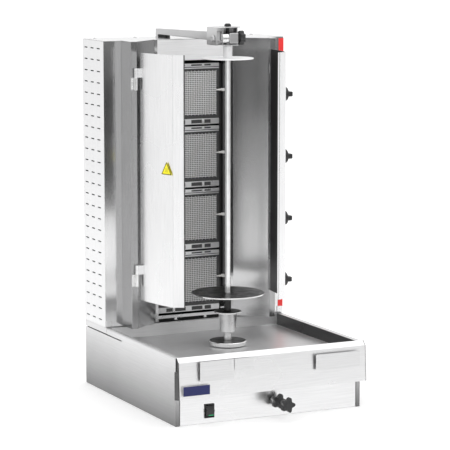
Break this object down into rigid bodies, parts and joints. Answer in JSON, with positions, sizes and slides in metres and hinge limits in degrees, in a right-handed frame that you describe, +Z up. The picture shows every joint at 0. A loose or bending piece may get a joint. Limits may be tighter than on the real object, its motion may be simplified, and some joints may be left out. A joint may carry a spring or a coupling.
{
  "type": "vertical gas rotisserie oven",
  "caption": "Upright gas rotisserie oven for a kebab spit: base with drip tray, burner casing, hinged heat shields and a spit held by an overhead arm.",
  "frame": {"origin": "middle of the oven's whole footprint, on the surface it stands on", "axes": "+Z up; -Y towards the cook, so the front is at -Y; +X to the oven's right as seen from the front"},
  "size_m": [0.576, 0.697, 1.012],
  "materials": {
    "brushed_steel": "satin brushed stainless sheet",
    "polished_steel": "polished stainless",
    "inner_steel": "dull stainless, hidden or heated parts",
    "black_plastic": "moulded black plastic, satin",
    "ceramic": "perforated ceramic burner plaque, darkened by heat",
    "brass": "machined brass and painted gas pipe",
    "motor_case": "cast motor housing",
    "rubber": "black rubber pad",
    "burner_screen": "woven heat-proof wire screen",
    "red_trim": "red strip",
    "label_blue": "plain blue name plate without any mark",
    "label_yellow": "yellow hazard triangle with a black border",
    "label_white": "blank white label",
    "lamp_green": "green lamp lens in the rocker"
  },
  "bodies": {
    "body": {"base_left_side": "brushed_steel", "base_right_side": "brushed_steel", "base_front_panel": "brushed_steel", "base_floor_pan": "inner_steel", "cable_gland": "black_plastic", "drip_tray": "polished_steel", "tray_fascia": "polished_steel", "switch_housing": "black_plastic", "rail_left": "inner_steel", "rail_right": "inner_steel", "lock_bushing": "brushed_steel", "spit_arm": "brushed_steel", "arm_pad": "rubber", "casing_floor": "brushed_steel", "casing_left_side": "brushed_steel", "casing_right_side": "brushed_steel", "casing_left_pillar": "brushed_steel", "casing_right_pillar": "brushed_steel", "casing_back": "brushed_steel", "casing_top": "brushed_steel", "burner_header": "brushed_steel", "burner_housing_1": "inner_steel", "burner_housing_2": "inner_steel", "burner_housing_3": "inner_steel", "burner_housing_4": "inner_steel", "burner_plaque_1": "ceramic", "burner_plaque_2": "ceramic", "burner_plaque_3": "ceramic", "burner_plaque_4": "ceramic", "sensor_rail": "inner_steel", "gas_manifold": "brass", "hinge_left_upper": "brushed_steel", "hinge_left_lower": "brushed_steel", "hinge_right_upper": "brushed_steel", "hinge_right_lower": "brushed_steel"},
    "rocker": {"rocker": "black_plastic"},
    "carriage": {"motor_carriage": "inner_steel", "gear_motor": "motor_case", "adjuster_rod": "polished_steel", "pull_knob": "black_plastic"},
    "lock_knob": {"lock_knob": "black_plastic"},
    "spit": {"drive_shaft": "polished_steel", "splash_disc": "polished_steel", "drive_cup": "polished_steel", "spit_shaft": "polished_steel", "lower_disc": "polished_steel"},
    "upper_disc": {"upper_disc": "polished_steel"},
    "bearing_block": {"bearing_block": "brushed_steel"},
    "top_pin": {"top_pin": "black_plastic"},
    "clamp_knob": {"clamp_knob": "black_plastic"},
    "left_shield": {"left_heat_shield": "polished_steel"},
    "right_shield": {"right_heat_shield": "polished_steel"},
    "valve_1": {"valve_stem_1": "polished_steel"},
    "knob_1": {"burner_knob_1": "black_plastic"},
    "valve_2": {"valve_stem_2": "polished_steel"},
    "knob_2": {"burner_knob_2": "black_plastic"},
    "valve_3": {"valve_stem_3": "polished_steel"},
    "knob_3": {"burner_knob_3": "black_plastic"},
    "valve_4": {"valve_stem_4": "polished_steel"},
    "knob_4": {"burner_knob_4": "black_plastic"}
  },
  "joints": [
    {"name": "carriage_slide", "type": "slide", "parent": "body", "child": "carriage", "axis": [0, 1, 0], "range_m": [0, 0.03]},
    {"name": "spit_spin", "type": "hinge", "parent": "carriage", "child": "spit", "pos_m": [-0.015, -0.0245, 0.2], "axis": [0, 0, 1], "continuous": true},
    {"name": "upper_disc_slide", "type": "slide", "parent": "spit", "child": "upper_disc", "axis": [0, 0, 1], "range_m": [-0.5, 0]},
    {"name": "block_slide", "type": "slide", "parent": "body", "child": "bearing_block", "axis": [0, 1, 0], "range_m": [0, 0.03]},
    {"name": "top_pin_lift", "type": "slide", "parent": "bearing_block", "child": "top_pin", "axis": [0, 0, 1], "range_m": [0, 0.018]},
    {"name": "clamp_knob_turn", "type": "hinge", "parent": "bearing_block", "child": "clamp_knob", "pos_m": [-0.015, -0.0475, 0.975], "axis": [1, 0, 0], "range_deg": [0, 180]},
    {"name": "lock_knob_turn", "type": "hinge", "parent": "body", "child": "lock_knob", "pos_m": [0.002, -0.2925, 0.0425], "axis": [0, 1, 0], "range_deg": [0, 180]},
    {"name": "left_shield_swing", "type": "hinge", "parent": "body", "child": "left_shield", "pos_m": [-0.221, 0.1115, 0.6], "axis": [0, 0, 1], "range_deg": [-100, 8]},
    {"name": "right_shield_swing", "type": "hinge", "parent": "body", "child": "right_shield", "pos_m": [0.191, 0.1115, 0.6], "axis": [0, 0, 1], "range_deg": [-10, 98]},
    {"name": "rocker_tilt", "type": "hinge", "parent": "body", "child": "rocker", "pos_m": [-0.1895, -0.2715, 0.033], "axis": [1, 0, 0], "range_deg": [0, 20]},
    {"name": "valve_push_1", "type": "slide", "parent": "body", "child": "valve_1", "axis": [1, 0, 0], "range_m": [-0.003, 0], "stiffness_N_per_m": 800},
    {"name": "burner_knob_turn_1", "type": "hinge", "parent": "valve_1", "child": "knob_1", "pos_m": [0.27, 0.1935, 0.8], "axis": [1, 0, 0], "range_deg": [0, 180]},
    {"name": "valve_push_2", "type": "slide", "parent": "body", "child": "valve_2", "axis": [1, 0, 0], "range_m": [-0.003, 0], "stiffness_N_per_m": 800},
    {"name": "burner_knob_turn_2", "type": "hinge", "parent": "valve_2", "child": "knob_2", "pos_m": [0.27, 0.1935, 0.6245], "axis": [1, 0, 0], "range_deg": [0, 180]},
    {"name": "valve_push_3", "type": "slide", "parent": "body", "child": "valve_3", "axis": [1, 0, 0], "range_m": [-0.003, 0], "stiffness_N_per_m": 800},
    {"name": "burner_knob_turn_3", "type": "hinge", "parent": "valve_3", "child": "knob_3", "pos_m": [0.27, 0.1935, 0.449], "axis": [1, 0, 0], "range_deg": [0, 180]},
    {"name": "valve_push_4", "type": "slide", "parent": "body", "child": "valve_4", "axis": [1, 0, 0], "range_m": [-0.003, 0], "stiffness_N_per_m": 800},
    {"name": "burner_knob_turn_4", "type": "hinge", "parent": "valve_4", "child": "knob_4", "pos_m": [0.27, 0.1935, 0.2735], "axis": [1, 0, 0], "range_deg": [0, 180]}
  ],
  "couplings": [
    {"joint": "block_slide", "follows": "carriage_slide", "ratio": 1}
  ]
}
